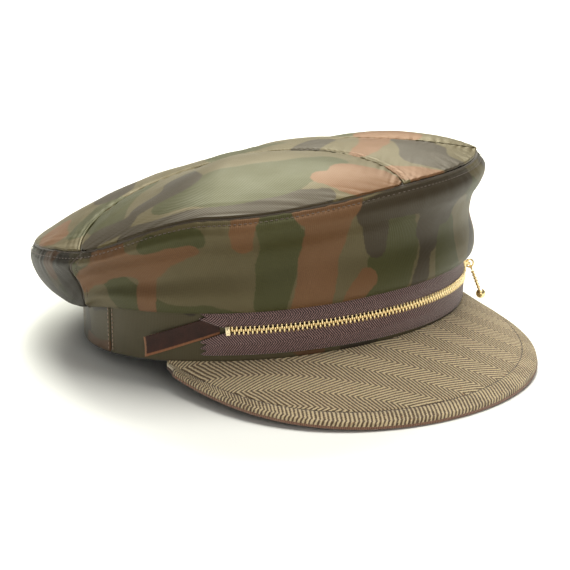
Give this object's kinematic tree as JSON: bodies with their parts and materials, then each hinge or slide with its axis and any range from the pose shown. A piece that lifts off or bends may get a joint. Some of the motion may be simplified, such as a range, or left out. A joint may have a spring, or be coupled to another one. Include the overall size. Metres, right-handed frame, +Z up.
{
  "type": "soft peaked cap",
  "caption": "Soft camouflage peaked cap with a tweed visor, a brass zip round the front of its band and a hanging beaded zip puller.",
  "frame": {"origin": "on the table under the middle of the cap's bounding box", "axes": "+Z up as the cap rests on its visor's front edge and the back of its band, -Y to the visor's front, -X to the wearer's right"},
  "size_m": [0.2278, 0.2789, 0.1084],
  "materials": {
    "camouflage_fabric": "satin-faced cotton sateen in olive, brown, russet and tan camouflage",
    "tweed": "herringbone wool tweed, cream and dark brown",
    "edge_fabric": "dark reddish-brown ribbed cloth",
    "lining": "plain woven lining",
    "sweatband": "dark grosgrain",
    "stiffener": "stiff board",
    "zip_tape": "plum-brown herringbone tape",
    "velvet": "dark brown velvet ribbon with copper edges",
    "brass": "polished brass"
  },
  "bodies": {
    "cap": {"band_front": "camouflage_fabric", "band_back": "camouflage_fabric", "band_stiffener": "stiffener", "sweatband": "sweatband", "wall_panel_front": "camouflage_fabric", "wall_panel_back": "camouflage_fabric", "top_side_panel_right": "camouflage_fabric", "top_side_panel_left": "camouflage_fabric", "top_centre_panel": "camouflage_fabric", "crown_lining_wall": "lining", "crown_lining_top": "lining", "visor_top_cover": "tweed", "visor_board": "stiffener", "visor_under_cover": "edge_fabric", "visor_edge_roll": "edge_fabric", "zip_tape_upper": "zip_tape", "zip_tape_lower": "zip_tape", "zip_teeth_upper": "brass", "zip_teeth_lower": "brass", "zip_bottom_stop": "brass", "zip_top_stops": "brass", "ribbon_tab": "velvet"},
    "slider": {"slider_body": "brass", "slider_bridge": "brass"},
    "ring": {"puller_ring": "brass"},
    "pull": {"puller_eye": "brass", "puller_beads": "brass", "puller_ball": "brass"}
  },
  "joints": [
    {"name": "zip_run", "type": "hinge", "parent": "cap", "child": "slider", "pos_m": [0, 0.01573, 0.02716], "axis": [-0.0175, -0.1201, -0.9926], "range_deg": [0, 108]},
    {"name": "ring_swing", "type": "hinge", "parent": "slider", "child": "ring", "pos_m": [0.09053, -0.03226, 0.03137], "axis": [-0.4694, -0.8756, 0.1142], "range_deg": [0, 95]},
    {"name": "pull_swing", "type": "hinge", "parent": "ring", "child": "pull", "pos_m": [0.09133, -0.03299, 0.02901], "axis": [0.8534, -0.4167, 0.3131], "range_deg": [-12, 55]}
  ]
}
